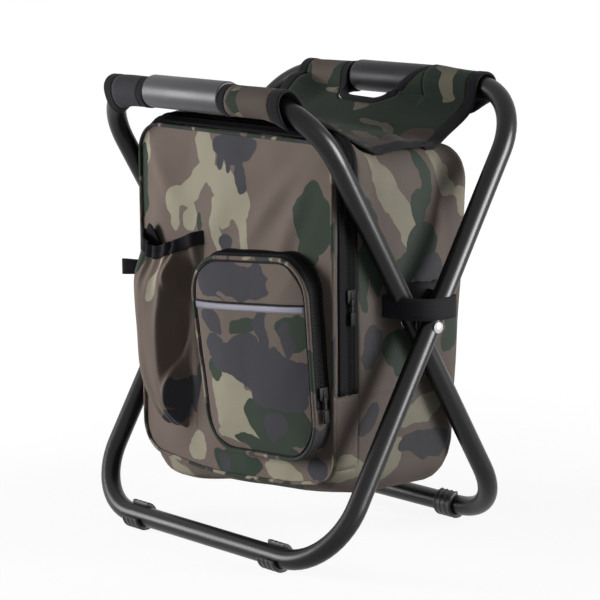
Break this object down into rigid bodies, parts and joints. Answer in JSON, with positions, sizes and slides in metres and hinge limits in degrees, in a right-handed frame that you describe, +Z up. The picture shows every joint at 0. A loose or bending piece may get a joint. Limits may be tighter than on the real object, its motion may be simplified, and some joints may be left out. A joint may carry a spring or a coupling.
{
  "type": "folding cooler stool",
  "caption": "Folding stool with crossed loops of tube, a sling seat between bar grips, and an insulated zip-front bag with pockets hung between the legs.",
  "frame": {"origin": "on the floor, under the middle of the pivot axis", "axes": "+Z up, +X along the bars to the right of a person facing the front flap, -Y towards the front"},
  "size_m": [0.3726, 0.2782, 0.4397],
  "materials": {
    "frame_paint": "satin black powder coat on steel tube",
    "grip_plastic": "smooth grey-black moulded grip",
    "black_plastic": "moulded black",
    "rivet_steel": "bright",
    "printed_fabric": "woven polyester with a woodland print",
    "black_webbing": "woven black binding and webbing",
    "zip_tape": "woven zip tape with a coil",
    "zip_metal": "black lacquer",
    "reflective_tape": "grey reflective tape",
    "insulation_foam": "closed-cell foam",
    "silver_liner": "silvered waterproof film"
  },
  "bodies": {
    "outer_frame": {"outer_frame_tube": "frame_paint", "grip_rear": "grip_plastic", "seat_sleeve_rear_left": "printed_fabric", "seat_sleeve_rear_right": "printed_fabric", "pivot_rivet_left": "rivet_steel", "pivot_rivet_right": "rivet_steel", "pivot_spacer_left": "black_plastic", "pivot_spacer_right": "black_plastic", "foot_clip_front_left": "black_plastic", "foot_clip_front_right": "black_plastic"},
    "inner_frame": {"inner_frame_tube": "frame_paint", "grip_front": "grip_plastic", "seat_sleeve_front_left": "printed_fabric", "seat_sleeve_front_right": "printed_fabric", "foot_clip_rear_left": "black_plastic", "foot_clip_rear_right": "black_plastic"},
    "bag": {"bag_shell": "printed_fabric", "bag_foam": "insulation_foam", "bag_liner": "silver_liner", "bag_piping": "printed_fabric", "main_zip_tape_bag": "zip_tape", "seat_sling": "printed_fabric", "leg_strap_left": "black_webbing", "leg_strap_right": "black_webbing", "hang_tab_front_left": "black_webbing", "hang_tab_front_right": "black_webbing", "hang_tab_rear_left": "black_webbing", "hang_tab_rear_right": "black_webbing"},
    "front_flap": {"flap_shell": "printed_fabric", "flap_foam": "insulation_foam", "flap_liner": "silver_liner", "flap_piping": "printed_fabric", "main_zip_tape_flap": "zip_tape", "pocket_gusset": "printed_fabric", "pocket_face": "printed_fabric", "pocket_piping": "printed_fabric", "pocket_zip_tape": "zip_tape", "reflective_tape": "reflective_tape", "bottle_pocket": "printed_fabric", "bottle_pocket_rim": "black_webbing"},
    "main_zip_slider": {"main_zip_slider": "zip_metal"},
    "main_zip_pull": {"main_zip_pull": "zip_metal"},
    "pocket_zip_slider": {"pocket_zip_slider": "zip_metal"},
    "pocket_zip_pull": {"pocket_zip_pull": "zip_metal"}
  },
  "joints": [
    {"name": "fold", "type": "hinge", "parent": "outer_frame", "child": "inner_frame", "pos_m": [0, 0, 0.21891], "axis": [-1, 0, 0], "range_deg": [0, 54], "deforming": ["seat_sling"]},
    {"name": "bag_swing", "type": "hinge", "parent": "outer_frame", "child": "bag", "pos_m": [0, 0, 0.21891], "axis": [-1, 0, 0], "range_deg": [0, 27]},
    {"name": "flap_open", "type": "hinge", "parent": "bag", "child": "front_flap", "pos_m": [0, -0.084, 0.08803], "axis": [1, 0, 0], "range_deg": [0, 80]},
    {"name": "main_zip_slide", "type": "slide", "parent": "bag", "child": "main_zip_slider", "axis": [0, 0, 1], "range_m": [-0.08, 0.045]},
    {"name": "main_pull_swing", "type": "hinge", "parent": "main_zip_slider", "child": "main_zip_pull", "pos_m": [0.1411, -0.066, 0.24702], "axis": [0, -1, 0], "range_deg": [0, 90]},
    {"name": "pocket_zip_slide", "type": "slide", "parent": "front_flap", "child": "pocket_zip_slider", "axis": [-0.0872, 0, 0.9962], "range_m": [0, 0.075]},
    {"name": "pocket_pull_swing", "type": "hinge", "parent": "pocket_zip_slider", "child": "pocket_zip_pull", "pos_m": [0.13361, -0.0933, 0.16098], "axis": [0, -1, 0], "range_deg": [0, 90]}
  ],
  "couplings": [
    {"joint": "bag_swing", "follows": "fold", "ratio": 0.5}
  ]
}
